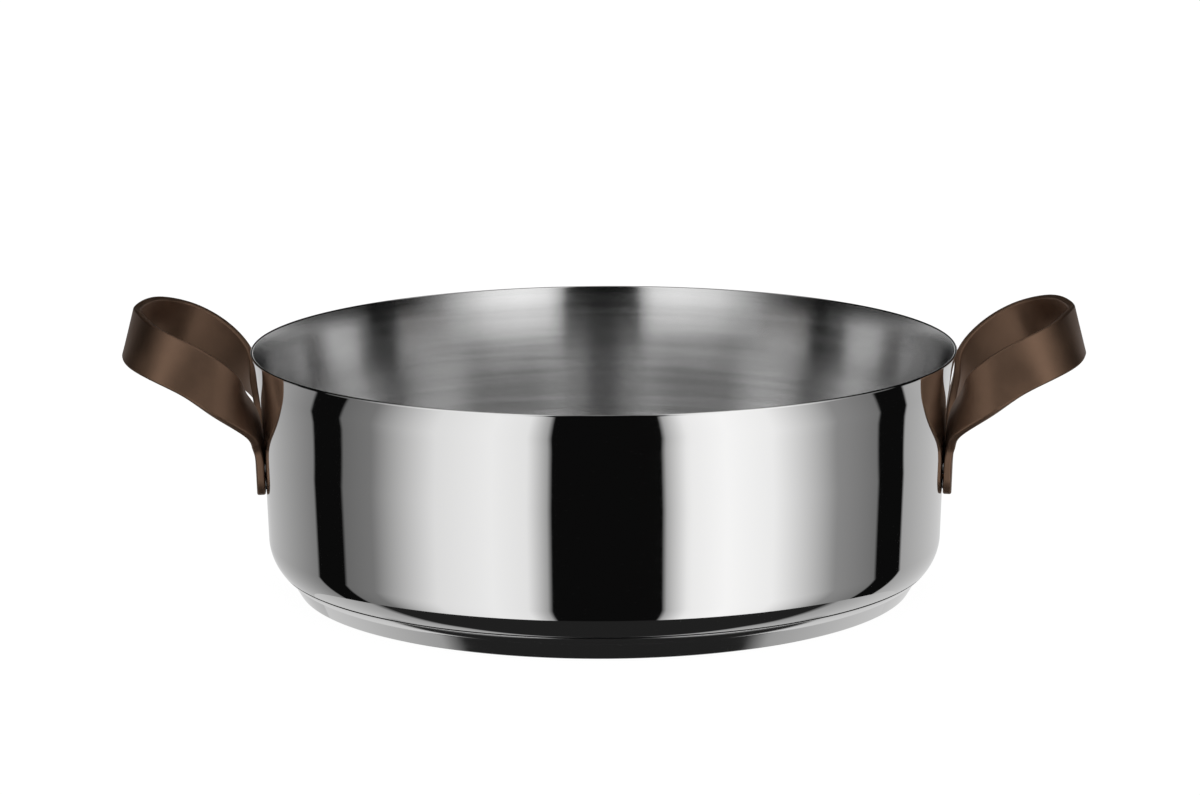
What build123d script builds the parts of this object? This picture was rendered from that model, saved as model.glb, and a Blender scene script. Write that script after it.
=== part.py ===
from build123d import *
from math import asin, cos, degrees, radians, sin, tan
import os

# Low two-handled pan in millimetres
# The base stands on Z = 0, the pan's axis is Z and the handles lie along X.

# Pot
pot_height = 96.2
rim_radius = 140.0
wall_thickness = 1.2
floor_thickness = 1.2
inner_corner_radius = 14.0

# Wall from the rim down, with angles from upright
lip_angle = 22.0
lip_bend_radius = 27.0
flare_angle = 7.0
flare_length = 17.0
flare_bend_radius = 115.0
draft_angle = 1.9
corner_radius = 18.7

# Layered base
groove_height = 10.3
groove_angle = 37.9
groove_width = 0.8
cap_side_lean = 30.7
cap_side_height = 6.4
cap_thickness = 0.8
cap_edge_radius = 0.7
core_thickness = 6.2
lip_clearance = 0.1
core_clearance = 0.1
core_turn_share = 0.52

# Ribbon handle
strip_width = 19.5
strip_thickness = 2.9
strip_crown = 0.6
strip_edge_radius = 0.8
foot_slit = 0.5
foot_bottom_drop = 58.0
foot_top_drop = 44.3
foot_corner_radius = 8.0
foot_lead = 1.2
wall_clearance = 0.3
loop_reach = 50.9
loop_half_width = 38.1
loop_rise = 50.9

# Weld nuggets that hold the feet
weld_radius = 2.2
weld_spacing = 6.0

# Middle line of one arm, from its foot to the loop's outer end
# A row is a share of the reach, of the half width and of the rise.
arm_place_shares = [
    (0.026, 0.340, 0.234),
    (0.080, 0.640, 0.418),
    (0.207, 0.852, 0.586),
    (0.420, 0.961, 0.770),
    (0.665, 0.992, 0.905),
    (0.828, 0.842, 0.968),
    (0.950, 0.470, 1.009),
    (1.000, 0.000, 1.000),
]

# Direction across the strip to its upper edge at the same places
# A row is the share that points outward, sideways and up.
arm_across_shares = [
    (0.06, -0.89, 0.45),
    (0.11, -0.69, 0.71),
    (-0.34, -0.55, 0.76),
    (-0.46, -0.25, 0.85),
    (-0.46, -0.19, 0.87),
    (-0.43, -0.11, 0.89),
    (-0.34, -0.05, 0.94),
    (-0.24, 0.00, 0.97),
]


def down_wall(angle):
    """Unit step down a wall that leans outward by an angle from upright."""
    return Vector(-sin(radians(angle)), -cos(radians(angle)))


def off_wall(angle):
    """Unit step out of the pan, square to such a wall."""
    return Vector(cos(radians(angle)), -sin(radians(angle)))


# Bends of the outer wall, as radius and height, from the rim down
rim_edge_height = pot_height - wall_thickness / 2 * (1 + sin(radians(lip_angle)))
rim_edge = Vector(rim_radius, rim_edge_height)
lip_centre = rim_edge + off_wall(lip_angle) * lip_bend_radius
flare_start = lip_centre - off_wall(flare_angle) * lip_bend_radius
flare_end = flare_start + down_wall(flare_angle) * flare_length
flare_centre = flare_end + off_wall(flare_angle) * flare_bend_radius
wall_top = flare_centre - off_wall(draft_angle) * flare_bend_radius
corner_height = groove_height + corner_radius * sin(radians(groove_angle))


def wall_radius_at(height):
    """Outer radius of the straight part of the wall."""
    return wall_top.X - (wall_top.Y - height) * tan(radians(draft_angle))


wall_bottom_height = corner_height - corner_radius * sin(radians(draft_angle))
wall_bottom = Vector(wall_radius_at(wall_bottom_height), wall_bottom_height)
corner_centre = wall_bottom - off_wall(draft_angle) * corner_radius

# Underside of the pot, with the step that the cap's lip sits in
under_height = cap_thickness + core_thickness
floor_height = under_height + floor_thickness
step_depth = cap_thickness + lip_clearance
step_point = corner_centre + off_wall(groove_angle) * (corner_radius - step_depth)
step_turn = 90.0 - groove_angle
under_radius = (step_point.Y - under_height) / (1 - cos(radians(step_turn)))
under_edge = step_point.X - under_radius * sin(radians(step_turn))

# Side of the cap, up to where it meets the corner bend
cap_side_angle = degrees(asin((corner_height - cap_side_height) / corner_radius))
cap_side_top = corner_centre + off_wall(cap_side_angle) * corner_radius
cap_side_slope = tan(radians(cap_side_lean))
cap_radius = cap_side_top.X - cap_side_height * cap_side_slope
groove_low_angle = groove_angle + degrees(groove_width / corner_radius)
lip_turn = step_turn - degrees(groove_width / under_radius)


def hollow_point(centre, radius, inset, angle):
    """Point on a bend that is hollow towards the outside, set in from it."""
    return centre - off_wall(angle) * (radius + inset)


def corner_point(angle):
    """Point on the outer corner bend at an angle below level."""
    return corner_centre + off_wall(angle) * corner_radius


def under_point(gap, turn):
    """Point on the rounded edge of the underside, a gap outside it."""
    reach = under_radius + gap
    height = under_height + under_radius - reach * cos(radians(turn))
    return Vector(under_edge + reach * sin(radians(turn)), height)


def bend(point_at, first, last):
    """Arc through the points at two angles and half way between them."""
    return ThreePointArc(point_at(first), point_at((first + last) / 2), point_at(last))


def wall_side(inset, lowest):
    """Wall from the rim edge to its lowest point, set in from the outer face."""
    lip = bend(lambda a: hollow_point(lip_centre, lip_bend_radius, inset, a), lip_angle, flare_angle)
    flare = bend(lambda a: hollow_point(flare_centre, flare_bend_radius, inset, a), flare_angle, draft_angle)
    return lip + Line(lip @ 1, flare @ 0) + flare + Line(flare @ 1, lowest)


def revolved(outline):
    """Full turn of a closed outline in radius and height about the pan's axis."""
    return revolve(Plane.XZ * make_face(outline), Axis.Z)


def inner_corner():
    """Bend between the inner wall and the cooking floor."""
    centre_height = floor_height + inner_corner_radius
    start_height = centre_height - inner_corner_radius * sin(radians(draft_angle))
    inner_reach = wall_thickness / cos(radians(draft_angle))
    start = Vector(wall_radius_at(start_height) - inner_reach, start_height)
    centre = start - off_wall(draft_angle) * inner_corner_radius
    return bend(lambda a: centre + off_wall(a) * inner_corner_radius, draft_angle, 90)


def make_pot_body():
    """Drawn vessel: flared wall, round corner, flat floor and a step for the cap."""
    corner = bend(corner_point, draft_angle, groove_angle)
    outer = wall_side(0, corner @ 0) + corner + Line(corner @ 1, step_point)
    under = bend(lambda turn: under_point(0, turn), step_turn, 0)
    bottom = Line(under @ 1, (0, under_height)) + Line((0, under_height), (0, floor_height))
    inner_bend = inner_corner()
    floor = Line((0, floor_height), inner_bend @ 1)
    inner = wall_side(wall_thickness, inner_bend @ 0) + inner_bend
    rim_middle = rim_edge - off_wall(lip_angle) * (wall_thickness / 2)
    rim_top = rim_middle - down_wall(lip_angle) * (wall_thickness / 2)
    rim = ThreePointArc(rim_edge, rim_top, rim_edge - off_wall(lip_angle) * wall_thickness)
    return revolved(outer + under + bottom + floor + inner + rim)


def core_corner():
    """Where the core's side meets the rounded edge of the pot's underside."""
    return under_point(lip_clearance, step_turn * core_turn_share)


def make_base_core():
    """Heat-spreading disc between the pot's underside and the cap."""
    top_edge = Vector(under_edge, under_height)
    shoulder = TangentArc(top_edge, core_corner(), tangent=(1, 0))
    side_run = (core_corner().Y - cap_thickness) * cap_side_slope
    low_edge = Vector(core_corner().X - side_run, cap_thickness)
    outline = Line((0, under_height), top_edge) + shoulder + Line(core_corner(), low_edge)
    outline += Line(low_edge, (0, cap_thickness)) + Line((0, cap_thickness), (0, under_height))
    return revolved(outline)


def make_base_cap():
    """Magnetic cap that closes the core in, with its lip under the groove."""
    corner = bend(corner_point, cap_side_angle, groove_low_angle)
    inner_reach = core_corner().X + core_clearance - under_edge
    inner_turn = degrees(asin(inner_reach / (under_radius + lip_clearance)))
    lip = bend(lambda turn: under_point(lip_clearance, turn), lip_turn, inner_turn)
    side_run = ((lip @ 1).Y - cap_thickness) * cap_side_slope
    low_inside = Vector((lip @ 1).X - side_run, cap_thickness)
    outline = Line((0, 0), (cap_radius, 0)) + Line((cap_radius, 0), cap_side_top) + corner
    outline += Line(corner @ 1, lip @ 0) + lip + Line(lip @ 1, low_inside)
    outline += Line(low_inside, (0, cap_thickness)) + Line((0, cap_thickness), (0, 0))
    face = make_face(outline)
    lowest = face.vertices().group_by(Axis.Y)[0].sort_by(Axis.X)[-1]
    return revolve(Plane.XZ * fillet(lowest, cap_edge_radius), Axis.Z)


# Foot of the arm on the positive Y side, flat against the wall
foot_top_height = pot_height - foot_top_drop
foot_length = (foot_bottom_drop - foot_top_drop) / cos(radians(draft_angle))
foot_radius = wall_radius_at(foot_top_height) + wall_clearance + strip_thickness / 2
foot_turn = asin((strip_width + foot_slit) / 2 / foot_radius)
foot_out = Vector(cos(foot_turn), sin(foot_turn), 0)
foot_across = Vector(sin(foot_turn), -cos(foot_turn), 0)
foot_up = foot_out * sin(radians(draft_angle)) + Vector(0, 0, cos(radians(draft_angle)))
foot_face = foot_up.cross(foot_across)
foot_top = foot_out * foot_radius + Vector(0, 0, foot_top_height)
loop_start = foot_top - foot_up * foot_lead


def strip_section():
    """Strip cut square: a flat back, rounded edges and a crowned front."""
    half = strip_width / 2
    edge = strip_thickness / 2
    crown = ThreePointArc((half, edge), (0, edge + strip_crown), (-half, edge))
    back = Polyline((-half, edge), (-half, -edge), (half, -edge), (half, edge))
    return make_face(crown + back)


def strip_plane(place, along, across):
    """Plane square to the strip, with its X axis to the upper edge."""
    return Plane(origin=place, x_dir=across - along * across.dot(along), z_dir=along)


def mirrored(vector):
    """The same place or direction on the other arm."""
    return Vector(vector.X, -vector.Y, vector.Z)


def arm_stations():
    """Places along one arm, from its foot up, and the direction across the strip."""
    stations = [(loop_start, foot_across), (foot_top, foot_across)]
    for place, across in zip(arm_place_shares, arm_across_shares):
        out, side, rise = place
        point = Vector(out * loop_reach, side * loop_half_width, rise * loop_rise)
        stations.append((point + Vector(foot_top.X, 0, foot_top.Z), Vector(*across)))
    return stations


def make_loop():
    """Both arms and the loop's end as one strip with a twist in each arm."""
    arm = arm_stations()
    other_arm = [(mirrored(place), mirrored(across)) for place, across in reversed(arm[:-1])]
    stations = arm + other_arm
    ends = (foot_up, -mirrored(foot_up))
    path = Spline([place for place, across in stations], tangents=ends, tangent_scalars=(1, 1))
    section = strip_section()
    section = fillet(section.vertices(), strip_edge_radius)
    planes = [
        strip_plane(place, path.tangent_at(path.param_at_point(place)), across)
        for place, across in stations
    ]
    return loft([plane * section for plane in planes])


def make_foot():
    """Flat end of the arm with rounded lower corners and softened edges."""
    length = foot_length - foot_lead
    bar = extrude(strip_plane(loop_start, foot_up, foot_across) * strip_section(), -length)
    tongue = Rectangle(strip_width, length, align=(Align.CENTER, Align.MAX))
    tongue = fillet(tongue.vertices().group_by(Axis.Y)[0], foot_corner_radius)
    front = Plane(origin=loop_start, x_dir=foot_across, z_dir=-foot_face)
    foot = bar & extrude(front * tongue, strip_width, both=True)
    joint = foot.faces().sort_by(Axis.Z)[-1]
    joint_ends = joint.edges()
    return fillet(foot.edges().filter_by(lambda edge: edge not in joint_ends), strip_edge_radius)


def make_handle():
    """Ribbon handle on the positive X side."""
    foot = make_foot()
    return make_loop() + foot + mirror(foot, Plane.XZ)


def make_welds(pot_body):
    """Nuggets between the pot's wall and the flat backs of both feet."""
    reach = wall_clearance + wall_thickness / 2
    middle = foot_top - foot_face * (strip_thickness / 2) - foot_up * (foot_length / 2)
    nuggets = []
    for offset in (-weld_spacing / 2, weld_spacing / 2):
        plane = Plane(origin=middle + foot_up * offset, z_dir=-foot_face)
        nugget = extrude(plane * Circle(weld_radius), reach) - pot_body
        nuggets += [nugget, mirror(nugget, Plane.XZ)]
    return Compound(nuggets)


def write(piece, name):
    export_step(piece, os.path.join("parts", name + ".step"))


def main():
    os.makedirs("parts", exist_ok=True)
    pot_body = make_pot_body()
    write(pot_body, "pot_body")
    write(make_base_core(), "base_core")
    write(make_base_cap(), "base_cap")
    handle = make_handle()
    welds = make_welds(pot_body)
    half_turn = Rot(Z=180)
    write(handle, "right_handle")
    write(half_turn * handle, "left_handle")
    write(welds, "right_handle_welds")
    write(half_turn * welds, "left_handle_welds")


if __name__ == "__main__":
    main()
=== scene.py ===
"""Studio scene for a low two-handled pan: turned steel, bronze handles, panel tent, floor and camera.

Sizes of the turned pieces are in millimetres, as on a drawing. Every object is in metres in the CAD frame:
+Z is the pan's axis, the handles lie along X and the camera looks from -Y.
"""

import logging
from dataclasses import dataclass, field
from enum import Enum, IntEnum
from math import asin, atan, ceil, cos, degrees, pi, radians, sin, tan

import bpy
from mathutils import Matrix, Vector


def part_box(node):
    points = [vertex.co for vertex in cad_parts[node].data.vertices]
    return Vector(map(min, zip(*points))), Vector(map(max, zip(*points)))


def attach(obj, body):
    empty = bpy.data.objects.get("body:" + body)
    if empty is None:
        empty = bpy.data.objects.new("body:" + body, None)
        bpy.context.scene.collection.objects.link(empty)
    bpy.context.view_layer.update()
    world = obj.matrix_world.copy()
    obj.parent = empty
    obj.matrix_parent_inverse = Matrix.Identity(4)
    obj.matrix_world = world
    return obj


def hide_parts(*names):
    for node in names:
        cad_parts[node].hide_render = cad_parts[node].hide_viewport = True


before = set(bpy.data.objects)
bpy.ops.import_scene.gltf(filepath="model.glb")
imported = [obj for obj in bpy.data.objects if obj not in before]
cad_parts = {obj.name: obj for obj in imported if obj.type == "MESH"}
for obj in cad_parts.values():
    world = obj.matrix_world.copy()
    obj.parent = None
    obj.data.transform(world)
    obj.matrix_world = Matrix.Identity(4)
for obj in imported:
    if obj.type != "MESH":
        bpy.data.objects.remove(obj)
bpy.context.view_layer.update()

log = logging.getLogger("braiser")

ROOT = "root"
MM = 0.001
TURN_STEPS = 256
FULL_TURN = 360.0

# Millimetres within which two points of an outline are one
SEAM = 1e-3

# Degrees between two rings of an arc; the mirrored bends need the finest
FLARE_STEP = 0.7
BEND_STEP = 1.5
INNER_STEP = 4.0
HIDDEN_STEP = 6.0
FOOT_STEP = 8.0
EDGE_STEP = 12.0

Color = tuple[float, float, float]
Point = tuple[float, float]


# Camera

IMAGE_WIDTH = 1200
IMAGE_HEIGHT = 795
SENSOR_WIDTH_MM = 36.0


@dataclass(frozen=True)
class CameraView:
    """A camera that looks at one point of the pan from a given side.

    Attributes:
        distance: Metres from the aimed point to the lens.
        elevation: Degrees above the horizon.
        turn: Degrees that the camera stands round the pan from straight ahead.
        roll: Degrees that the picture is rolled.
        focal_pixels: Focal length in pixels of the picture.
        aim_pixel: Where the aimed point lies in the picture.
    """

    distance: float
    elevation: float
    turn: float
    roll: float
    focal_pixels: float
    aim_pixel: Point

    def build(self, aim: Vector) -> bpy.types.Object:
        """Makes the camera and hands it to the scene.

        Args:
            aim: The point that lies at aim_pixel.

        Returns:
            The camera object.
        """
        turn, elevation = radians(self.turn), radians(self.elevation)
        away = Vector((sin(turn) * cos(elevation), -cos(turn) * cos(elevation), sin(elevation)))
        right_shift = atan((self.aim_pixel[0] - IMAGE_WIDTH / 2) / self.focal_pixels)
        down_shift = atan((self.aim_pixel[1] - IMAGE_HEIGHT / 2) / self.focal_pixels)
        look = away.to_track_quat("Z", "Y").to_matrix()
        swing = Matrix.Rotation(radians(self.roll), 3, "Z")
        swing = swing @ Matrix.Rotation(right_shift, 3, "Y") @ Matrix.Rotation(down_shift, 3, "X")
        data = bpy.data.cameras.new("camera")
        data.sensor_width = SENSOR_WIDTH_MM
        data.lens = self.focal_pixels / IMAGE_WIDTH * SENSOR_WIDTH_MM
        data.clip_end = 50.0
        camera = bpy.data.objects.new("camera", data)
        camera.matrix_world = Matrix.Translation(aim + away * self.distance) @ (look @ swing).to_4x4()
        bpy.context.scene.collection.objects.link(camera)
        bpy.context.scene.camera = camera
        log.info("camera: %.0f mm lens at %.2f m", data.lens, self.distance)
        return camera


PHOTO_VIEW = CameraView(
    distance=1.6,
    elevation=10.527,
    turn=0.9,
    roll=-0.276,
    focal_pixels=4026.4,
    aim_pixel=(603.58, 345.05),
)


# Node helpers

def grey(level: float) -> Color:
    """A neutral colour of that level."""
    return (level, level, level)


def scaled(color: Color, share: float) -> Color:
    """A lighter or darker version of a colour."""
    return tuple(value * share for value in color)


class NodeBuilder:
    """Short calls for building one node tree."""

    def __init__(self, tree: bpy.types.NodeTree) -> None:
        """Starts on a tree."""
        self.tree = tree

    def add(self, kind: str, inputs: dict | None = None, **settings: object) -> bpy.types.Node:
        """Adds a node.

        Args:
            kind: The node's type name.
            inputs: A value or an output socket for each named or numbered input.
            settings: Properties set on the node.

        Returns:
            The new node.
        """
        node = self.tree.nodes.new(kind)
        for name, value in settings.items():
            setattr(node, name, value)
        for name, value in (inputs or {}).items():
            self.feed(node.inputs[name], value)
        return node

    def feed(self, target: bpy.types.NodeSocket, value: object) -> None:
        """Links a socket to an input, or sets a colour or number on it."""
        if isinstance(value, bpy.types.NodeSocket):
            self.tree.links.new(value, target)
        elif target.type == "RGBA":
            target.default_value = (*value[:3], 1.0)
        else:
            target.default_value = value

    def math(self, operation: str, *values: object, clamp: bool = False) -> bpy.types.NodeSocket:
        """Adds a math node and returns its output."""
        return self.add("ShaderNodeMath", dict(enumerate(values)), operation=operation, use_clamp=clamp).outputs[0]

    def vector(self, operation: str, inputs: dict, output: int | str = 0) -> bpy.types.NodeSocket:
        """Adds a vector math node and returns one of its outputs."""
        return self.add("ShaderNodeVectorMath", inputs, operation=operation).outputs[output]

    def between(self, value: bpy.types.NodeSocket, low: float, high: float) -> bpy.types.NodeSocket:
        """Smooth step of a value from 0 at low to 1 at high."""
        inputs = {"Value": value, "From Min": low, "From Max": high}
        return self.add("ShaderNodeMapRange", inputs, interpolation_type="SMOOTHSTEP").outputs["Result"]

    def spread(self, value: bpy.types.NodeSocket, low: float, high: float) -> bpy.types.NodeSocket:
        """A value from 0 to 1 spread from low to high."""
        return self.add("ShaderNodeMapRange", {"Value": value, "To Min": low, "To Max": high}).outputs["Result"]

    def blend(self, share: bpy.types.NodeSocket, first: object, second: object) -> bpy.types.NodeSocket:
        """Colour between two colours by a share."""
        return self.add("ShaderNodeMix", {0: share, 6: first, 7: second}, data_type="RGBA").outputs[2]

    def noise(self, place: bpy.types.NodeSocket, scale: object, detail: float) -> bpy.types.NodeSocket:
        """Adds a noise texture and returns its value."""
        return self.add("ShaderNodeTexNoise", {"Vector": place, "Scale": scale, "Detail": detail}).outputs[0]

    def bump(self, height: bpy.types.NodeSocket, depth: float) -> bpy.types.NodeSocket:
        """Normal of a surface whose relief is that many metres deep."""
        return self.add("ShaderNodeBump", {"Height": height, "Distance": depth, "Strength": 1.0}).outputs[0]

    def ramp(self, value: bpy.types.NodeSocket, stops: list[tuple[float, Color]]) -> bpy.types.NodeSocket:
        """Adds a colour ramp with the given stops and returns its colour."""
        node = self.add("ShaderNodeValToRGB", {0: value})
        elements = node.color_ramp.elements
        while len(elements) < len(stops):
            elements.new(1.0)
        for element, (place, color) in zip(elements, stops):
            element.position = place
            element.color = (*color, 1.0)
        return node.outputs["Color"]


def new_material(name: str) -> tuple[bpy.types.Material, NodeBuilder]:
    """Makes an empty node material.

    Args:
        name: Name of the material.

    Returns:
        The material and a builder on its tree.
    """
    material = bpy.data.materials.new(name)
    material.use_nodes = True
    material.node_tree.nodes.clear()
    return material, NodeBuilder(material.node_tree)


def finished(build: NodeBuilder, inputs: dict) -> None:
    """Adds the metal shader with its inputs and the output."""
    shader = build.add("ShaderNodeBsdfPrincipled", {"Metallic": 1.0, **inputs})
    build.add("ShaderNodeOutputMaterial", {"Surface": shader.outputs[0]})


# Shared surface effects

class Effect:
    """A shader node group that several finishes place with their own values."""

    name = ""
    settings: dict[str, float] = {}
    results: tuple[str, ...] = ()

    def __init__(self) -> None:
        """Builds the group once."""
        self.tree = bpy.data.node_groups.new(self.name, "ShaderNodeTree")
        for name, value in self.settings.items():
            socket = self.tree.interface.new_socket(name, in_out="INPUT", socket_type="NodeSocketFloat")
            socket.default_value = value
        for name in self.results:
            self.tree.interface.new_socket(name, in_out="OUTPUT", socket_type="NodeSocketFloat")
        build = NodeBuilder(self.tree)
        inputs = build.add("NodeGroupInput").outputs
        build.add("NodeGroupOutput", self.draw(build, inputs))

    def draw(self, build: NodeBuilder, inputs: bpy.types.NodeOutputs) -> dict[str, bpy.types.NodeSocket]:
        """Builds the group's inside and gives a socket for each result."""
        raise NotImplementedError

    def place(self, build: NodeBuilder, **values: float) -> bpy.types.NodeOutputs:
        """Places the group in a material's tree.

        Args:
            build: Builder of the material's tree.
            values: Values for the group's inputs.

        Returns:
            The group's outputs.
        """
        node = build.add("ShaderNodeGroup", node_tree=self.tree)
        for name, value in values.items():
            build.feed(node.inputs[name], value)
        return node.outputs


class TurnedGrain(Effect):
    """Fine lines that run round the pan's axis, as a polishing wheel leaves them."""

    name = "turned_grain"
    settings = {"Lines": 1800.0, "Length": 6.0, "Cloud": 22.0}
    results = ("Height", "Streaks", "Clouds")
    coarse_share = 0.17

    def draw(self, build: NodeBuilder, inputs: bpy.types.NodeOutputs) -> dict[str, bpy.types.NodeSocket]:
        """Noise on the direction round the axis and on the distance along the outline."""
        place = build.add("ShaderNodeTexCoord").outputs["Object"]
        parts = build.add("ShaderNodeSeparateXYZ", {0: place}).outputs
        flat = build.add("ShaderNodeCombineXYZ", {0: parts[0], 1: parts[1]}).outputs[0]
        around = build.vector("SCALE", {0: build.vector("NORMALIZE", {0: flat}), 3: inputs["Length"]})
        along = build.math("ADD", build.vector("LENGTH", {0: flat}, "Value"), parts[2])
        line = build.add("ShaderNodeCombineXYZ", {2: build.math("MULTIPLY", along, inputs["Lines"])}).outputs[0]
        spot = build.vector("ADD", {0: around, 1: line})
        fine = build.noise(spot, 1.0, 3.0)
        coarse = build.noise(build.vector("SCALE", {0: spot, 3: self.coarse_share}), 1.0, 4.0)
        clouds = build.noise(place, inputs["Cloud"], 2.0)
        return {"Height": build.math("ADD", fine, coarse), "Streaks": coarse, "Clouds": clouds}


class SatinGrain(Effect):
    """Fine even grain of a blasted surface, with soft mottling."""

    name = "satin_grain"
    settings = {"Grain": 3200.0, "Mottle": 55.0}
    results = ("Height", "Mottling")

    def draw(self, build: NodeBuilder, inputs: bpy.types.NodeOutputs) -> dict[str, bpy.types.NodeSocket]:
        """Two noises on the object's own coordinates."""
        place = build.add("ShaderNodeTexCoord").outputs["Object"]
        return {
            "Height": build.noise(place, inputs["Grain"], 2.0),
            "Mottling": build.noise(place, inputs["Mottle"], 5.0),
        }


class PaintedEdgeHighlight(Effect):
    """Mask of outer edges, broken up so that it doesn't look drawn; the bronze uses it for a highlight painted along
    the edges.
    """

    name = "painted_edge_highlight"
    settings = {"Radius": 0.0012, "Gain": 2.2, "Breakup": 420.0}
    results = ("Mask",)
    breaks = (0.3, 0.6)
    kept_shares = (0.45, 1.0)
    bevel_samples = 6

    def draw(self, build: NodeBuilder, inputs: bpy.types.NodeOutputs) -> dict[str, bpy.types.NodeSocket]:
        """Compares the surface's direction with one rounded over its edges."""
        plain = build.add("ShaderNodeNewGeometry").outputs["Normal"]
        rounded = build.add("ShaderNodeBevel", {"Radius": inputs["Radius"]}, samples=self.bevel_samples).outputs[0]
        match = build.vector("DOT_PRODUCT", {0: plain, 1: rounded}, "Value")
        bend = build.math("MULTIPLY", build.math("SUBTRACT", 1.0, match), inputs["Gain"], clamp=True)
        place = build.add("ShaderNodeTexCoord").outputs["Object"]
        kept = build.between(build.noise(place, inputs["Breakup"], 3.0), *self.breaks)
        return {"Mask": build.math("MULTIPLY", bend, build.spread(kept, *self.kept_shares))}


@dataclass
class Effects:
    """The shared effects, each built once."""

    turned: TurnedGrain = field(default_factory=TurnedGrain)
    satin: SatinGrain = field(default_factory=SatinGrain)
    # Edge mask that places a painted highlight along the handles' edges
    edge_highlight: PaintedEdgeHighlight = field(default_factory=PaintedEdgeHighlight)


# Finishes

class Metal(Enum):
    """Base colours of the pan's metals, and a dark grey painted as shade in the groove."""

    STEEL = (0.93, 0.93, 0.93)
    ALUMINIUM = (0.80, 0.80, 0.81)
    BRONZE = (0.28, 0.175, 0.118)
    # Dark grey painted as the shade deep in the narrow groove between the pot and the cap
    PAINTED_GROOVE_SHADE = (0.10, 0.10, 0.10)


@dataclass(frozen=True)
class MirrorSteel:
    """Steel polished on a wheel, with a breath of haze along the polishing lines.

    Attributes:
        name: Name of the material.
        roughness: Lowest and highest roughness.
        line_depth: Depth of the polishing lines in metres.
        haze: Strengths of the streaks between which the haze rises.
        warm: Base colour of the slightly warmer clouds.
    """

    name: str
    roughness: Point = (0.02, 0.045)
    line_depth: float = 1.2e-7
    haze: Point = (0.12, 0.45)
    warm: Color = (0.945, 0.94, 0.935)

    def build(self, effects: Effects) -> bpy.types.Material:
        """Makes the material with the shared effects."""
        material, build = new_material(self.name)
        grain = effects.turned.place(build, Lines=2600.0, Length=5.0, Cloud=18.0)
        haze = build.between(build.math("MULTIPLY", grain["Streaks"], grain["Clouds"]), *self.haze)
        tone = build.blend(grain["Clouds"], Metal.STEEL.value, self.warm)
        inputs = {"Base Color": tone, "Roughness": build.spread(haze, *self.roughness)}
        inputs["Normal"] = build.bump(grain["Height"], self.line_depth)
        finished(build, inputs)
        return material


@dataclass(frozen=True)
class TurnedSteel:
    """Satin steel whose fine lines run round the axis and draw reflections out across them.

    Attributes:
        name: Name of the material.
        roughness: Lowest and highest roughness.
        stretch: How much further the surface scatters across the lines than along them.
        line_depth: Depth of the lines in metres.
        streaks: Strengths of the streaks between which the surface changes.
        levels: Base colour's level between and on the streaks.
    """

    name: str
    roughness: Point = (0.17, 0.20)
    stretch: float = 1.0
    line_depth: float = 1.5e-6
    streaks: Point = (0.3, 0.7)
    levels: Point = (0.84, 0.95)

    def build(self, effects: Effects) -> bpy.types.Material:
        """Makes the material with the shared effects."""
        material, build = new_material(self.name)
        grain = effects.turned.place(build, Lines=1500.0, Length=5.0, Cloud=26.0)
        streaks = build.between(grain["Streaks"], *self.streaks)
        tangent = build.add("ShaderNodeTangent", direction_type="RADIAL", axis="Z").outputs[0]
        inputs = {"Base Color": build.blend(streaks, *map(grey, self.levels))}
        inputs["Roughness"] = build.spread(streaks, *self.roughness)
        inputs["Normal"] = build.bump(grain["Height"], self.line_depth)
        inputs.update({"Anisotropic": self.stretch, "Anisotropic Rotation": 0.25, "Tangent": tangent})
        finished(build, inputs)
        return material


@dataclass(frozen=True)
class BronzeCoat:
    """Satin bronze-brown coating on steel, with a highlight painted in lighter colour along the edges, which are also a
    little smoother.

    Attributes:
        name: Name of the material.
        roughness: Lowest and highest roughness.
        edge: Lighter colour painted along the edges as a highlight.
        mottle: Strengths of the mottling between which the coating changes.
        shades: Shares of the base colour in the mottling.
        edge_highlight: How much of the painted edge highlight colour shows.
        edge_smoothing: How much smoother the coating is along the edges.
        grain_depth: Depth of the grain in metres.
    """

    name: str
    roughness: Point = (0.48, 0.56)
    edge: Color = (0.36, 0.25, 0.19)
    mottle: Point = (0.3, 0.7)
    shades: Point = (0.9, 1.1)
    edge_highlight: float = 0.7
    edge_smoothing: float = 0.06
    grain_depth: float = 4e-6

    def build(self, effects: Effects) -> bpy.types.Material:
        """Makes the material with the shared effects."""
        material, build = new_material(self.name)
        grain = effects.satin.place(build, Grain=2600.0, Mottle=60.0)
        # A highlight painted in lighter colour along the edges, where the coating is also made smoother
        edge_highlight = effects.edge_highlight.place(build, Radius=0.0011, Gain=2.0, Breakup=500.0)["Mask"]
        mottle = build.between(grain["Mottling"], *self.mottle)
        tone = build.blend(mottle, *(scaled(Metal.BRONZE.value, share) for share in self.shades))
        tone = build.blend(build.math("MULTIPLY", edge_highlight, self.edge_highlight), tone, self.edge)
        smoother_edges = build.math("MULTIPLY", edge_highlight, self.edge_smoothing)
        rough = build.math("SUBTRACT", build.spread(mottle, *self.roughness), smoother_edges)
        inputs = {"Base Color": tone, "Roughness": rough}
        inputs["Normal"] = build.bump(grain["Height"], self.grain_depth)
        finished(build, inputs)
        return material


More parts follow.
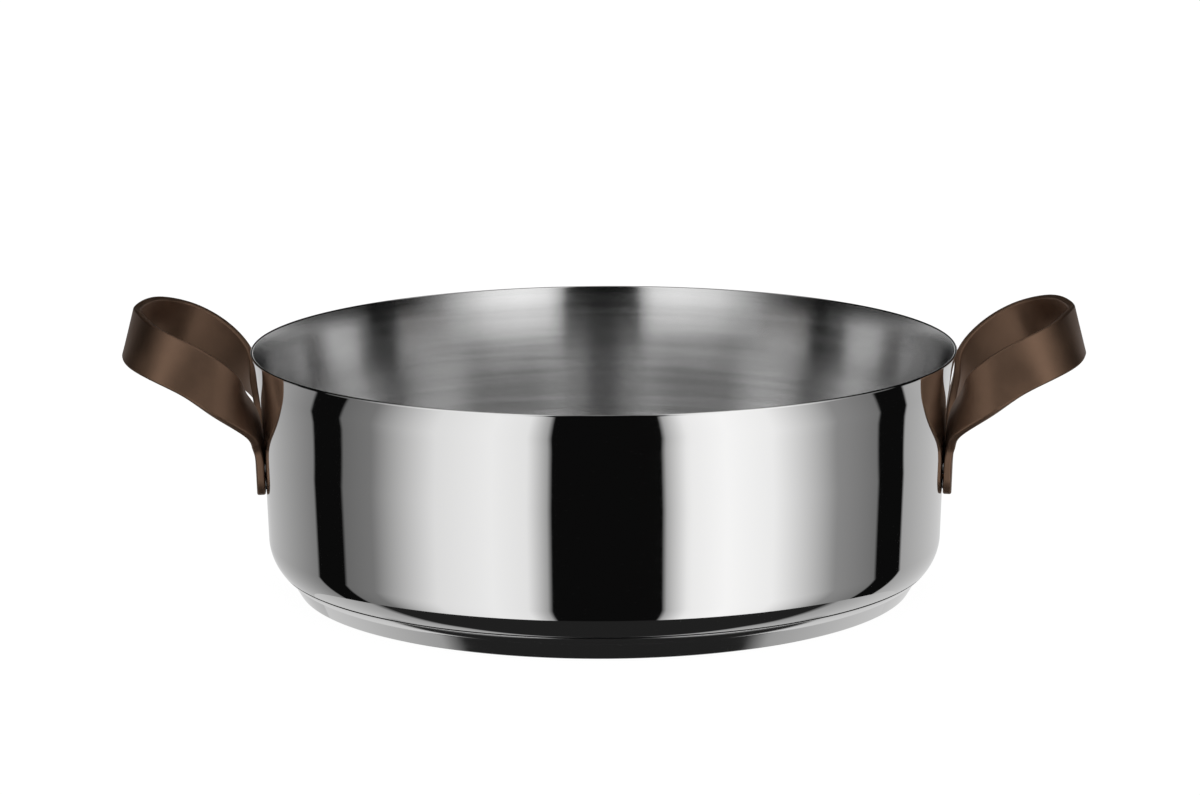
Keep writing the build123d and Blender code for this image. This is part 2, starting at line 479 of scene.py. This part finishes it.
@dataclass(frozen=True)
class PlainMetal:
    """Dull metal of the pieces that are closed in, and dark metal painted as the shade inside the groove.

    Attributes:
        name: Name of the material.
        metal: Base colour.
        roughness: Lowest and highest roughness.
        dark_share: Share of the base colour in the darker mottling.
        grain_depth: Depth of the grain in metres.
    """

    name: str
    metal: Metal
    roughness: Point = (0.36, 0.48)
    dark_share: float = 0.86
    grain_depth: float = 8e-6

    def build(self, effects: Effects) -> bpy.types.Material:
        """Makes the material with the shared effects."""
        material, build = new_material(self.name)
        grain = effects.satin.place(build, Grain=1800.0, Mottle=90.0)
        dark = scaled(self.metal.value, self.dark_share)
        inputs = {"Base Color": build.blend(grain["Mottling"], dark, self.metal.value)}
        inputs["Roughness"] = build.spread(grain["Mottling"], *self.roughness)
        inputs["Normal"] = build.bump(grain["Height"], self.grain_depth)
        finished(build, inputs)
        return material


# Turned meshes

def down_wall(angle: float) -> Vector:
    """Unit step in radius and height down a wall that leans outward by an angle."""
    return Vector((-sin(radians(angle)), -cos(radians(angle))))


def off_wall(angle: float) -> Vector:
    """Unit step out of the pan, square to such a wall."""
    return Vector((cos(radians(angle)), -sin(radians(angle))))


@dataclass(frozen=True)
class Stretch:
    """Part of a turned outline, with the direction that its surface faces at each point.

    Attributes:
        points: Radius and height of each point.
        facings: Unit direction off the surface at each point.
        zone: Number of the material slot.
    """

    points: tuple[Vector, ...]
    facings: tuple[Vector, ...]
    zone: int

    @classmethod
    def arc(cls, centre: Vector, radius: float, first: float, last: float, zone: int, step: float) -> "Stretch":
        """Arc between two angles in degrees; it is hollow where the angle falls.

        Args:
            centre: Centre in radius and height.
            radius: Radius of the arc.
            first: Angle of the first point, from outward level and upward.
            last: Angle of the last point.
            zone: Number of the material slot.
            step: Largest angle between two points.

        Returns:
            The stretch.
        """
        count = max(1, ceil(abs(last - first) / step))
        side = 1.0 if last > first else -1.0
        angles = [radians(first + (last - first) * index / count) for index in range(count + 1)]
        spokes = [Vector((cos(angle), sin(angle))) for angle in angles]
        facings = tuple(spoke * side for spoke in spokes)
        return cls(tuple(centre + spoke * radius for spoke in spokes), facings, zone)

    @classmethod
    def run(cls, start: Vector, end: Vector, zone: int, parts: int = 1) -> "Stretch":
        """Straight stretch with the metal on its left.

        Args:
            start: First point in radius and height.
            end: Last point.
            zone: Number of the material slot.
            parts: Number of equal parts.

        Returns:
            The stretch.
        """
        way = (end - start).normalized()
        points = tuple(start.lerp(end, index / parts) for index in range(parts + 1))
        return cls(points, (Vector((way.y, -way.x)),) * (parts + 1), zone)


class Lathe:
    """Turns an outline about the pan's axis into a closed mesh with exact shading directions."""

    def __init__(self, name: str, outline: list[Stretch], steps: int = TURN_STEPS) -> None:
        """Works out the rings and faces.

        Args:
            name: Name of the object.
            outline: Stretches in order, from the axis round to the axis.
            steps: Number of faces round the axis.
        """
        self.name = name
        self.steps = steps
        self.spokes = [(cos(2 * pi * index / steps), sin(2 * pi * index / steps)) for index in range(steps)]
        self.vertices: list[tuple[float, float, float]] = []
        self.faces: list[tuple[int, ...]] = []
        self.zones: list[int] = []
        self.facings: list[tuple[float, float, float]] = []
        self.last_point: Vector | None = None
        self.last_ring: list[int] = []
        for stretch in outline:
            self.add_stretch(stretch)

    def ring(self, point: Vector) -> list[int]:
        """Vertices of one ring, one for each step; a point on the axis gives its one vertex each time."""
        if self.last_point is not None and (point - self.last_point).length < SEAM:
            return self.last_ring
        start = len(self.vertices)
        if point.x < 1e-6:
            self.vertices.append((0.0, 0.0, point.y * MM))
            numbers = [start] * self.steps
        else:
            self.vertices += [(point.x * c * MM, point.x * s * MM, point.y * MM) for c, s in self.spokes]
            numbers = list(range(start, start + self.steps))
        self.last_point, self.last_ring = point, numbers
        return numbers

    def add_stretch(self, stretch: Stretch) -> None:
        """Adds the bands of one stretch."""
        lower = self.ring(stretch.points[0])
        for index in range(1, len(stretch.points)):
            upper = self.ring(stretch.points[index])
            self.add_band(lower, upper, stretch.facings[index - 1], stretch.facings[index])
            self.zones += [stretch.zone] * self.steps
            lower = upper

    def add_band(self, lower: list[int], upper: list[int], facing: Vector, next_facing: Vector) -> None:
        """Adds the faces between two rings."""
        for index in range(self.steps):
            after = (index + 1) % self.steps
            corners = [
                (lower, index, facing),
                (lower, after, facing),
                (upper, after, next_facing),
                (upper, index, next_facing),
            ]
            if lower[index] == lower[after]:
                corners.pop(1)
            elif upper[index] == upper[after]:
                corners.pop(2)
            self.faces.append(tuple(ring[number] for ring, number, _ in corners))
            for _, number, direction in corners:
                c, s = self.spokes[number]
                self.facings.append((direction.x * c, direction.x * s, direction.y))

    def build(self, materials: list[bpy.types.Material]) -> bpy.types.Object:
        """Makes the object.

        Args:
            materials: One material for each zone.

        Returns:
            The object, linked to the scene.
        """
        mesh = bpy.data.meshes.new(self.name)
        mesh.from_pydata(self.vertices, [], self.faces)
        for material in materials:
            mesh.materials.append(material)
        mesh.polygons.foreach_set("material_index", self.zones)
        mesh.polygons.foreach_set("use_smooth", [True] * len(self.faces))
        mesh.normals_split_custom_set(self.facings)
        turned = bpy.data.objects.new(self.name, mesh)
        bpy.context.scene.collection.objects.link(turned)
        return turned


class PotZone(IntEnum):
    """Material slots of the pot."""

    MIRROR = 0
    SATIN = 1
    GROOVE = 2


class CapZone(IntEnum):
    """Material slots of the cap."""

    STEEL = 0
    GROOVE = 1


@dataclass
class Vessel:
    """Flared pot and the cap under its layered base, in millimetres and degrees.

    Going down from the rim, the wall has a lip, a flare, a straight part with a draft and a round corner. The
    corner goes on into the cap below the groove.

    Attributes:
        height: Height of the rim.
        rim_radius: Outer radius at the rim.
        wall: Thickness of the wall.
        floor: Thickness of the floor.
        inner_corner: Radius between the floor and the wall inside.
        lip_angle: Lean of the wall at the rim.
        lip_bend: Outer radius of the bend from the flare to the rim.
        flare_angle: Lean of the flare.
        flare_length: Straight length of the flare.
        flare_bend: Outer radius of the bend from the wall to the flare.
        draft: Lean of the straight part.
        corner: Outer radius between the wall and the base.
        groove_height: Height of the groove's upper edge.
        groove_angle: Place of the groove round the corner, down from level.
        groove_width: Width of the groove.
        groove_edge: Radius of the groove's two edges.
        cap_side_lean: Lean of the cap's side.
        cap_side_height: Height at which the cap's side meets the corner.
        cap_thickness: Thickness of the cap.
        cap_edge: Radius of the cap's lower edge.
        core_thickness: Thickness of the core between the pot and the cap.
        clearance: Gap between two pieces.
        core_turn_share: Share of the step's bend that the core's edge reaches.
    """

    height: float = 96.2
    rim_radius: float = 140.0
    wall: float = 1.2
    floor: float = 1.2
    inner_corner: float = 14.0
    lip_angle: float = 17.0
    lip_bend: float = 60.0
    flare_angle: float = 8.5
    flare_length: float = 4.4
    flare_bend: float = 200.0
    draft: float = 1.9
    corner: float = 18.7
    groove_height: float = 10.3
    groove_angle: float = 37.9
    groove_width: float = 0.8
    groove_edge: float = 0.1
    cap_side_lean: float = 30.7
    cap_side_height: float = 6.4
    cap_thickness: float = 0.8
    cap_edge: float = 0.7
    core_thickness: float = 6.2
    clearance: float = 0.1
    core_turn_share: float = 0.52

    def __post_init__(self) -> None:
        """Works out the bends' centres and the places that follow from them."""
        edge_height = self.height - self.wall / 2 * (1 + sin(radians(self.lip_angle)))
        self.rim_edge = Vector((self.rim_radius, edge_height))
        self.lip_centre = self.rim_edge + off_wall(self.lip_angle) * self.lip_bend
        flare_start = self.lip_centre - off_wall(self.flare_angle) * self.lip_bend
        flare_end = flare_start + down_wall(self.flare_angle) * self.flare_length
        self.flare_centre = flare_end + off_wall(self.flare_angle) * self.flare_bend
        self.wall_top = self.flare_centre - off_wall(self.draft) * self.flare_bend
        corner_height = self.groove_height + self.corner * sin(radians(self.groove_angle))
        bottom_height = corner_height - self.corner * sin(radians(self.draft))
        self.wall_bottom = Vector((self.wall_radius_at(bottom_height), bottom_height))
        self.corner_centre = self.wall_bottom - off_wall(self.draft) * self.corner
        self.under_height = self.cap_thickness + self.core_thickness
        self.floor_height = self.under_height + self.floor
        self.step_turn = 90.0 - self.groove_angle
        step_depth = self.cap_thickness + self.clearance
        self.step_point = self.corner_centre + off_wall(self.groove_angle) * (self.corner - step_depth)
        self.under_bend = (self.step_point.y - self.under_height) / (1 - cos(radians(self.step_turn)))
        self.under_edge = self.step_point.x - self.under_bend * sin(radians(self.step_turn))
        self.under_centre = Vector((self.under_edge, self.under_height + self.under_bend))
        self.cap_side_angle = degrees(asin((corner_height - self.cap_side_height) / self.corner))
        self.cap_side_top = self.corner_centre + off_wall(self.cap_side_angle) * self.corner
        self.cap_radius = self.cap_side_top.x - self.cap_side_height * tan(radians(self.cap_side_lean))

    def wall_radius_at(self, height: float) -> float:
        """Outer radius of the straight part of the wall."""
        return self.wall_top.x - (self.wall_top.y - height) * tan(radians(self.draft))

    def under_point(self, turn: float) -> Vector:
        """Point on the rounded edge of the underside, the clearance outside it."""
        return self.under_centre + off_wall(90.0 - turn) * (self.under_bend + self.clearance)

    def pot_outline(self) -> list[Stretch]:
        """Outline of the pot, from the middle of its underside round to the middle of its floor."""
        mirror = PotZone.MIRROR
        under_side = Vector((self.under_edge, self.under_height))
        edge = self.groove_edge
        edge_angle = self.groove_angle - degrees(asin(edge / (self.corner - edge)))
        edge_centre = self.corner_centre + off_wall(edge_angle) * (self.corner - edge)
        edge_foot = edge_centre + down_wall(self.groove_angle) * edge
        lip_low = self.lip_centre - off_wall(self.flare_angle) * self.lip_bend
        flare_top = self.flare_centre - off_wall(self.flare_angle) * self.flare_bend
        rim_middle = self.rim_edge - off_wall(self.lip_angle) * (self.wall / 2)
        bend_ends = (180.0 - self.draft, 180.0 - self.flare_angle, 180.0 - self.lip_angle)
        outline = [
            Stretch.run(Vector((0.0, self.under_height)), under_side, mirror, 6),
            Stretch.arc(self.under_centre, self.under_bend, -90.0, self.step_turn - 90.0, PotZone.GROOVE, HIDDEN_STEP),
            Stretch.run(self.step_point, edge_foot, PotZone.GROOVE),
            Stretch.arc(edge_centre, edge, -90.0 - self.groove_angle, -edge_angle, mirror, EDGE_STEP),
            Stretch.arc(self.corner_centre, self.corner, -edge_angle, -self.draft, mirror, BEND_STEP),
            Stretch.run(self.wall_bottom, self.wall_top, mirror, 6),
            Stretch.arc(self.flare_centre, self.flare_bend, bend_ends[0], bend_ends[1], mirror, FLARE_STEP),
            Stretch.run(flare_top, lip_low, mirror, 3),
            Stretch.arc(self.lip_centre, self.lip_bend, bend_ends[1], bend_ends[2], mirror, BEND_STEP),
            Stretch.arc(rim_middle, self.wall / 2, -self.lip_angle, bend_ends[2], mirror, EDGE_STEP),
        ]
        return outline + self.inner_outline(PotZone.SATIN)

    def inner_outline(self, zone: int) -> list[Stretch]:
        """Outline of the inside, from the rim down to the middle of the floor."""
        lip_reach, flare_reach = self.lip_bend + self.wall, self.flare_bend + self.wall
        lip_low = self.lip_centre - off_wall(self.flare_angle) * lip_reach
        flare_top = self.flare_centre - off_wall(self.flare_angle) * flare_reach
        flare_low = self.flare_centre - off_wall(self.draft) * flare_reach
        start_height = self.floor_height + self.inner_corner * (1 - sin(radians(self.draft)))
        start = Vector((self.wall_radius_at(start_height) - self.wall / cos(radians(self.draft)), start_height))
        centre = start - off_wall(self.draft) * self.inner_corner
        bend_ends = (180.0 - self.draft, 180.0 - self.flare_angle, 180.0 - self.lip_angle)
        return [
            Stretch.arc(self.lip_centre, lip_reach, bend_ends[2], bend_ends[1], zone, BEND_STEP),
            Stretch.run(lip_low, flare_top, zone, 3),
            Stretch.arc(self.flare_centre, flare_reach, bend_ends[1], bend_ends[0], zone, FLARE_STEP),
            Stretch.run(flare_low, start, zone, 6),
            Stretch.arc(centre, self.inner_corner, -self.draft, -90.0, zone, INNER_STEP),
            Stretch.run(Vector((centre.x, self.floor_height)), Vector((0.0, self.floor_height)), zone, 16),
        ]

    def cap_outline(self) -> list[Stretch]:
        """Outline of the cap, from the middle of its underside round to the middle of its upper side."""
        steel, groove = CapZone.STEEL, CapZone.GROOVE
        side_way = (self.cap_side_top - Vector((self.cap_radius, 0.0))).normalized()
        setback = self.cap_edge * tan(radians((90.0 - self.cap_side_lean) / 2))
        low_centre = Vector((self.cap_radius - setback, self.cap_edge))
        low_side = Vector((self.cap_radius, 0.0)) + side_way * setback
        lip_angle = self.groove_angle + degrees(self.groove_width / self.corner)
        edge = self.groove_edge
        edge_angle = lip_angle + degrees(asin(edge / (self.corner - edge)))
        edge_centre = self.corner_centre + off_wall(edge_angle) * (self.corner - edge)
        lip_turn = self.step_turn - degrees(self.groove_width / self.under_bend)
        reach = self.under_bend + self.clearance
        core_corner = self.under_point(self.step_turn * self.core_turn_share)
        inner_turn = degrees(asin((core_corner.x + self.clearance - self.under_edge) / reach))
        lip_low = self.under_point(inner_turn)
        inner_run = (lip_low.y - self.cap_thickness) * tan(radians(self.cap_side_lean))
        low_inside = Vector((lip_low.x - inner_run, self.cap_thickness))
        return [
            Stretch.run(Vector((0.0, 0.0)), Vector((low_centre.x, 0.0)), steel, 12),
            Stretch.arc(low_centre, self.cap_edge, -90.0, -self.cap_side_lean, steel, FOOT_STEP),
            Stretch.run(low_side, self.cap_side_top, steel, 2),
            Stretch.arc(self.corner_centre, self.corner, -self.cap_side_angle, -edge_angle, steel, BEND_STEP),
            Stretch.arc(edge_centre, edge, -edge_angle, 90.0 - lip_angle, steel, EDGE_STEP),
            Stretch.run(edge_centre - down_wall(lip_angle) * edge, self.under_point(lip_turn), groove),
            Stretch.arc(self.under_centre, reach, lip_turn - 90.0, inner_turn - 90.0, groove, HIDDEN_STEP),
            Stretch.run(lip_low, low_inside, steel),
            Stretch.run(low_inside, Vector((0.0, self.cap_thickness)), steel, 6),
        ]

    def build(self, effects: Effects) -> None:
        """Makes the pot and the cap, dresses them and puts them in place of their CAD solids.

        Args:
            effects: The shared effects.
        """
        mirror = MirrorSteel("polished_steel").build(effects)
        satin = TurnedSteel("turned_steel").build(effects)
        base = MirrorSteel("magnetic_steel", roughness=(0.05, 0.09)).build(effects)
        # The groove's walls are painted dark grey as the shade of a deep, narrow gap
        groove = PlainMetal("groove_painted_shade", Metal.PAINTED_GROOVE_SHADE, (0.5, 0.7)).build(effects)
        pot = Lathe("pot_turned", self.pot_outline()).build([mirror, satin, groove])
        cap = Lathe("cap_turned", self.cap_outline()).build([base, groove])
        for piece, node, slot in ((pot, "pot_body", "polished_steel"), (cap, "base_cap", "magnetic_steel")):
            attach(piece, ROOT)
            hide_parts(node)
            log.info("%s: %d faces for %s", piece.name, len(piece.data.polygons), node)


@dataclass
class SolidPieces:
    """CAD solids that keep their own shape and get a finish."""

    nodes: tuple[str, ...]

    def dress(self, material: bpy.types.Material) -> None:
        """Puts the finish on every slot of every piece."""
        for node in self.nodes:
            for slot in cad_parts[node].material_slots:
                slot.material = material
            log.info("%s: %s", node, material.name)


# Stage

# Brightness of the tent's dark gaps
GAP_GLOW = 0.0035

# Keeps a division by what is left of one above zero
JUST_OVER_ONE = 1.0001


@dataclass(frozen=True)
class Panel:
    """Lit panel of the tent, from one angle to another round the pan.

    Attributes:
        start: Degrees round from the camera's side at which it starts.
        end: Degrees at which it ends.
        glow: Degrees and brightness at a few places, in order.
    """

    start: float
    end: float
    glow: tuple[Point, ...]

    def stops(self) -> list[Point]:
        """Its brightness with the dark just outside both ends."""
        before = [] if self.start <= -180.0 else [(self.start, GAP_GLOW)]
        after = [] if self.end >= 180.0 else [(self.end, GAP_GLOW)]
        return before + list(self.glow) + after


@dataclass(frozen=True)
class Banner:
    """Black cloth across the far side of the tent.

    Attributes:
        side: Metres towards the far side between which it fades in.
        foot: Heights between which it fades in.
        top: Heights between which it fades out.
        glow: Its brightness.
    """

    side: Point = (-0.16, -0.02)
    foot: Point = (0.10, 0.16)
    top: Point = (0.5, 0.7)
    glow: float = 0.004

    def cover(self, build: NodeBuilder, place: bpy.types.NodeOutputs) -> bpy.types.NodeSocket:
        """Share of the banner at a place on the tent.

        Args:
            build: Builder of the tent's material.
            place: The place's three coordinates.

        Returns:
            The share.
        """
        across = build.math("MULTIPLY", build.between(place[1], *self.side), build.between(place[2], *self.foot))
        return build.math("MULTIPLY", across, build.math("SUBTRACT", 1.0, build.between(place[2], *self.top)))


@dataclass(frozen=True)
class Tent:
    """Round tent of lit panels with dark gaps, which only reflections see.

    Attributes:
        radius: Metres from the pan's axis.
        low: Height of its lower edge.
        high: Height of its upper edge.
        turn: Degrees that it is turned with the camera.
        panels: Its panels in order.
        banner: The black cloth on it.
        steps: Number of faces round it.
    """

    radius: float
    low: float
    high: float
    turn: float
    panels: tuple[Panel, ...]
    banner: Banner = Banner()
    steps: int = 180

    def build(self) -> bpy.types.Object:
        """Makes the tent.

        Returns:
            The tent object.
        """
        vertices, faces = [], []
        for index in range(self.steps):
            angle = 2 * pi * index / self.steps
            spot = (self.radius * sin(angle), -self.radius * cos(angle))
            vertices += [(*spot, self.low), (*spot, self.high)]
            after = (index + 1) % self.steps
            faces.append((2 * index, 2 * index + 1, 2 * after + 1, 2 * after))
        mesh = bpy.data.meshes.new("panel_tent")
        mesh.from_pydata(vertices, [], faces)
        mesh.materials.append(self.glow_material())
        tent = bpy.data.objects.new("panel_tent", mesh)
        tent.rotation_euler = (0.0, 0.0, radians(self.turn))
        bpy.context.scene.collection.objects.link(tent)
        tent.visible_camera = False
        tent.visible_diffuse = False
        tent.visible_shadow = False
        return tent

    def glow_material(self) -> bpy.types.Material:
        """Light of the panels by the angle round the pan, with a black banner across the far side."""
        material, build = new_material("tent_panels")
        place = build.add("ShaderNodeSeparateXYZ", {0: build.add("ShaderNodeTexCoord").outputs["Object"]}).outputs
        angle = build.math("ARCTAN2", place[0], build.math("MULTIPLY", place[1], -1.0))
        share = build.math("MULTIPLY_ADD", angle, 0.5 / pi, 0.5)
        stops = [
            (0.5 + place_round / FULL_TURN, grey(level))
            for panel in self.panels
            for place_round, level in panel.stops()
        ]
        light = build.blend(self.banner.cover(build, place), build.ramp(share, stops), grey(self.banner.glow))
        glow = build.add("ShaderNodeEmission", {"Color": light})
        build.add("ShaderNodeOutputMaterial", {"Surface": glow.outputs[0]})
        material.cycles.emission_sampling = "NONE"
        return material


@dataclass(frozen=True)
class Surround:
    """World beyond the tent: white, but for reflections a dim ceiling and a dark table edge below.

    Attributes:
        ceiling: Brightness above the tent.
        below: Brightness under the tent, by the share that a direction points to the far side.
        turn: Degrees that the studio is turned with the camera.
        horizon: Upward parts between which the ceiling starts.
        under: Upward parts between which the dark under the pan ends.
        under_side: Shares to the far side between which the dark under the pan starts.
        steep: Upward parts between which the far side's light draws back.
        draw_back: How far it draws back.
    """

    ceiling: float
    below: tuple[Point, ...]
    turn: float
    horizon: Point = (-0.02, 0.02)
    under: Point = (-0.79, -0.74)
    under_side: Point = (0.5, 0.8)
    steep: Point = (-0.91, -0.84)
    draw_back: float = 0.06

    def build(self) -> None:
        """Sets up the world."""
        world = bpy.data.worlds.new("studio")
        world.use_nodes = True
        world.cycles.sampling_method = "NONE"
        bpy.context.scene.world = world
        build = NodeBuilder(world.node_tree)
        world.node_tree.nodes.clear()
        direction = build.add("ShaderNodeTexCoord").outputs["Generated"]
        inputs = {"Vector": direction, "Angle": -radians(self.turn)}
        turned = build.add("ShaderNodeVectorRotate", inputs, rotation_type="Z_AXIS").outputs[0]
        parts = build.add("ShaderNodeSeparateXYZ", {0: turned}).outputs
        upward = parts[2]
        level_square = build.math("SUBTRACT", JUST_OVER_ONE, build.math("MULTIPLY", upward, upward))
        backward = build.math("DIVIDE", parts[1], build.math("SQRT", level_square))
        nearer = build.math("MULTIPLY", build.between(upward, *self.steep), -self.draw_back)
        stops = [(place, grey(level)) for place, level in self.below]
        far_side = build.ramp(build.math("ADD", backward, nearer), stops)
        aslant = build.math("SUBTRACT", 1.0, build.between(upward, *self.under))
        under = build.math("MULTIPLY", build.between(backward, *self.under_side), aslant)
        up = build.between(upward, *self.horizon)
        low = build.blend(under, far_side, grey(self.below[0][1]))
        glossy = build.add("ShaderNodeBackground", {"Color": build.blend(up, low, grey(self.ceiling))})
        white = build.add("ShaderNodeBackground", {"Color": grey(1.0)})
        glossy_ray = build.add("ShaderNodeLightPath").outputs["Is Glossy Ray"]
        mixed = build.add("ShaderNodeMixShader", {0: glossy_ray, 1: white.outputs[0], 2: glossy.outputs[0]})
        build.add("ShaderNodeOutputWorld", {"Surface": mixed.outputs[0]})


@dataclass(frozen=True)
class Floor:
    """Plain white floor that keeps a faint shadow.

    Attributes:
        size: Length of a side in metres.
        level: Its colour.
        glow: Share that stays white to the camera.
        strength: Brightness of that share.
        drop: Metres that it lies below the pan.
    """

    size: float = 8.0
    level: float = 0.9
    glow: float = 0.93
    strength: float = 1.04
    drop: float = 0.0003

    def build(self) -> bpy.types.Object:
        """Makes the floor.

        Returns:
            The floor object.
        """
        half = self.size / 2
        mesh = bpy.data.meshes.new("floor")
        corners = ((-half, -half), (half, -half), (half, half), (-half, half))
        mesh.from_pydata([(x, y, -self.drop) for x, y in corners], [], [(0, 1, 2, 3)])
        floor = bpy.data.objects.new("floor", mesh)
        bpy.context.scene.collection.objects.link(floor)
        material, build = new_material("floor_white")
        paint = build.add("ShaderNodeBsdfDiffuse", {"Color": grey(self.level)})
        glow = build.add("ShaderNodeEmission", {"Color": (1, 1, 1), "Strength": self.strength})
        camera_ray = build.add("ShaderNodeLightPath").outputs["Is Camera Ray"]
        share = build.math("MULTIPLY", camera_ray, self.glow)
        mixed = build.add("ShaderNodeMixShader", {0: share, 1: paint.outputs[0], 2: glow.outputs[0]})
        build.add("ShaderNodeOutputMaterial", {"Surface": mixed.outputs[0]})
        mesh.materials.append(material)
        floor.visible_glossy = False
        return floor


TENT = Tent(
    radius=0.38,
    low=-0.20,
    high=1.1,
    turn=PHOTO_VIEW.turn,
    panels=(
        Panel(-180.0, -95.9, ((-180.0, 0.75), (-155.0, 0.70), (-138.0, 0.51), (-96.5, 0.20))),
        Panel(-82.2, -15.0, ((-81.6, 0.14), (-70.0, 0.18), (-48.0, 0.75), (-31.0, 0.87), (-21.0, 0.80), (-15.4, 0.34))),
        Panel(16.4, 88.5, ((16.9, 0.40), (23.0, 0.87), (34.0, 0.97), (48.0, 0.88), (70.0, 0.25), (87.9, 0.16))),
        Panel(101.9, 180.0, ((102.5, 0.36), (130.0, 0.54), (155.0, 0.70), (180.0, 0.75))),
    ),
)
SURROUND = Surround(
    ceiling=0.12,
    below=((0.0, 0.015), (0.13, 0.33), (0.42, 0.42), (0.77, 0.55), (1.0, 0.66)),
    turn=PHOTO_VIEW.turn,
)


def main() -> None:
    """Builds the whole scene."""
    logging.basicConfig(level=logging.INFO, format="%(name)s: %(message)s")
    bpy.context.scene.view_settings.view_transform = "Standard"
    rim_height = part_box("pot_body")[1][2]
    PHOTO_VIEW.build(Vector((0.0, 0.0, rim_height)))
    SURROUND.build()
    TENT.build()
    Floor().build()
    effects = Effects()
    Vessel().build(effects)
    SolidPieces(("base_core",)).dress(PlainMetal("core_aluminium", Metal.ALUMINIUM).build(effects))
    SolidPieces(("left_handle", "right_handle")).dress(BronzeCoat("bronze_coated_steel").build(effects))
    welds = SolidPieces(("left_handle_welds", "right_handle_welds"))
    welds.dress(PlainMetal("weld_steel", Metal.STEEL).build(effects))


if __name__ == "__main__":
    main()
